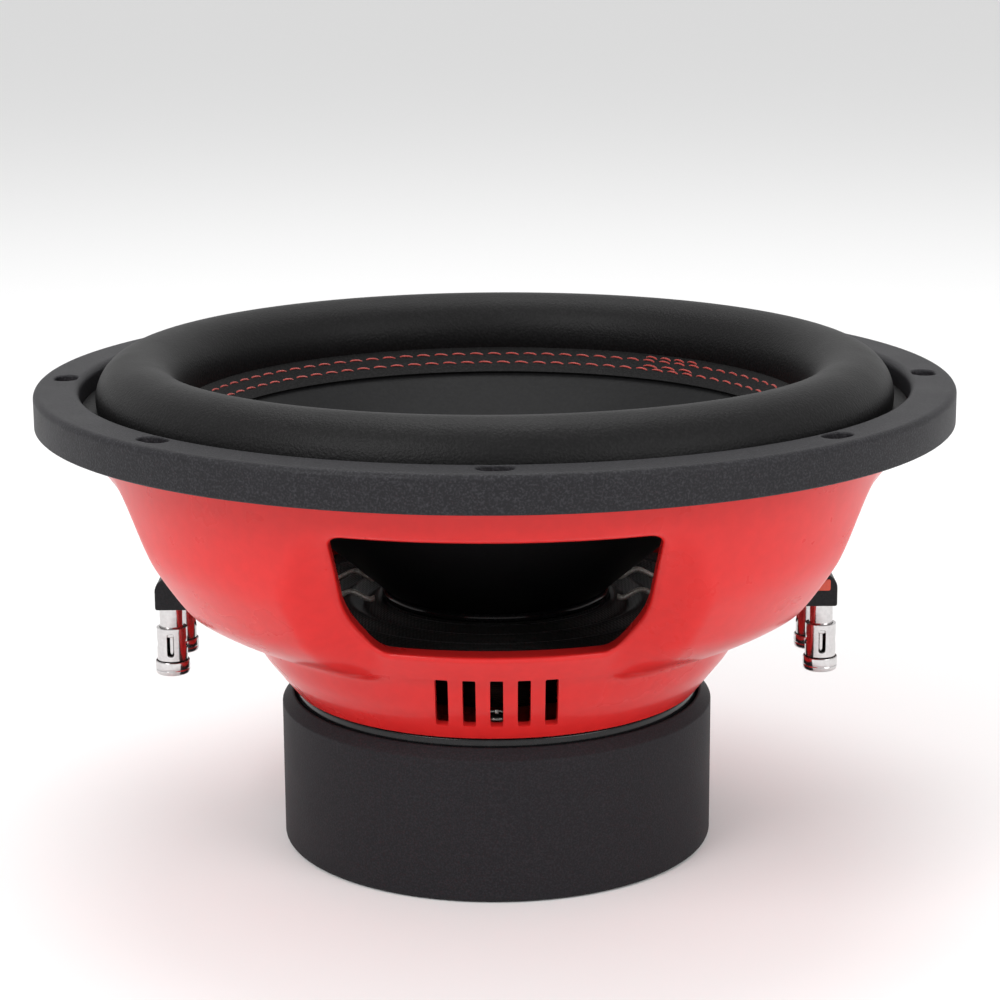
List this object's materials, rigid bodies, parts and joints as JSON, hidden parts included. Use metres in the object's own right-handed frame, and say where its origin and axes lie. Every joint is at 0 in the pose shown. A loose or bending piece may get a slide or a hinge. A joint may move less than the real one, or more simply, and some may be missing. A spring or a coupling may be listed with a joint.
{
  "type": "car subwoofer driver",
  "caption": "Round subwoofer driver: bowl basket with windows, trim ring with screw holes, roll surround, stitched cone, magnet motor in a boot and push terminals that slide.",
  "frame": {"origin": "on the driver's axis, at the bottom face of the motor boot", "axes": "+Z along the axis towards the cone's open face, -Y towards the front window, +X towards the terminal block with the near red insert"},
  "size_m": [0.318, 0.318, 0.1758],
  "materials": {
    "red_enamel": "glossy red powder enamel",
    "speckled_black": "satin, fine sand texture",
    "foam_rubber": "moulded foam, satin skin with fine grain",
    "cone_pulp": "smooth satin black",
    "boot_rubber": "matte with fine grain",
    "gasket_foam": "matte closed cell foam",
    "spider_cloth": "impregnated woven cloth",
    "thread": "twisted polyester thread",
    "black_steel": "black plated, semi gloss",
    "ferrite": "bare ground ferrite",
    "aluminium": "thin rolled sheet",
    "copper": "enamelled copper wire",
    "zinc": "zinc plated",
    "chrome": "polished plating",
    "black_plastic": "semi gloss moulding",
    "red_plastic": "semi gloss moulding",
    "tinned_braid": "tinned copper braid"
  },
  "bodies": {
    "frame": {"basket": "red_enamel", "trim_ring": "speckled_black", "flange_gasket": "gasket_foam", "surround": "foam_rubber", "spider": "spider_cloth", "spider_support_ring": "black_plastic", "top_plate": "black_steel", "magnet_upper": "ferrite", "magnet_lower": "ferrite", "t_yoke": "black_steel", "motor_boot": "boot_rubber", "vent_screen": "black_steel", "plate_screw_1": "zinc", "plate_screw_2": "zinc", "plate_screw_3": "zinc", "plate_screw_4": "zinc", "plate_screw_5": "zinc", "plate_screw_6": "zinc", "plate_screw_7": "zinc", "plate_screw_8": "zinc", "block_screw_1": "zinc", "block_screw_2": "zinc", "block_screw_3": "zinc", "block_screw_4": "zinc", "terminal_block_right": "black_plastic", "terminal_block_left": "black_plastic", "polarity_insert_right": "red_plastic", "polarity_insert_left": "red_plastic", "terminal_barrel_right_front": "chrome", "terminal_spring_right_front": "zinc", "solder_lug_right_front": "tinned_braid", "tinsel_lead_right_front": "tinned_braid", "terminal_barrel_right_rear": "chrome", "terminal_spring_right_rear": "zinc", "solder_lug_right_rear": "tinned_braid", "tinsel_lead_right_rear": "tinned_braid", "terminal_barrel_left_front": "chrome", "terminal_spring_left_front": "zinc", "solder_lug_left_front": "tinned_braid", "tinsel_lead_left_front": "tinned_braid", "terminal_barrel_left_rear": "chrome", "terminal_spring_left_rear": "zinc", "solder_lug_left_rear": "tinned_braid", "tinsel_lead_left_rear": "tinned_braid"},
    "cone_assembly": {"cone": "cone_pulp", "dust_cap": "cone_pulp", "stitching_outer": "thread", "stitching_inner": "thread", "voice_coil_former": "aluminium", "coil_inner_winding": "copper", "coil_outer_winding": "copper"},
    "plunger_right_front": {"terminal_plunger_right_front": "chrome"},
    "plunger_right_rear": {"terminal_plunger_right_rear": "chrome"},
    "plunger_left_front": {"terminal_plunger_left_front": "chrome"},
    "plunger_left_rear": {"terminal_plunger_left_rear": "chrome"}
  },
  "joints": [
    {"name": "cone_excursion", "type": "slide", "parent": "frame", "child": "cone_assembly", "axis": [0, 0, 1], "range_m": [-0.012, 0.012], "stiffness_N_per_m": 8000, "deforming": ["surround", "spider", "tinsel_lead_right_front", "tinsel_lead_right_rear", "tinsel_lead_left_front", "tinsel_lead_left_rear"]},
    {"name": "push_right_front", "type": "slide", "parent": "frame", "child": "plunger_right_front", "axis": [0, 0, 1], "range_m": [0, 0.004], "stiffness_N_per_m": 800, "springref_m": -0.002, "deforming": ["terminal_spring_right_front"]},
    {"name": "push_right_rear", "type": "slide", "parent": "frame", "child": "plunger_right_rear", "axis": [0, 0, 1], "range_m": [0, 0.004], "stiffness_N_per_m": 800, "springref_m": -0.002, "deforming": ["terminal_spring_right_rear"]},
    {"name": "push_left_front", "type": "slide", "parent": "frame", "child": "plunger_left_front", "axis": [0, 0, 1], "range_m": [0, 0.004], "stiffness_N_per_m": 800, "springref_m": -0.002, "deforming": ["terminal_spring_left_front"]},
    {"name": "push_left_rear", "type": "slide", "parent": "frame", "child": "plunger_left_rear", "axis": [0, 0, 1], "range_m": [0, 0.004], "stiffness_N_per_m": 800, "springref_m": -0.002, "deforming": ["terminal_spring_left_rear"]}
  ]
}
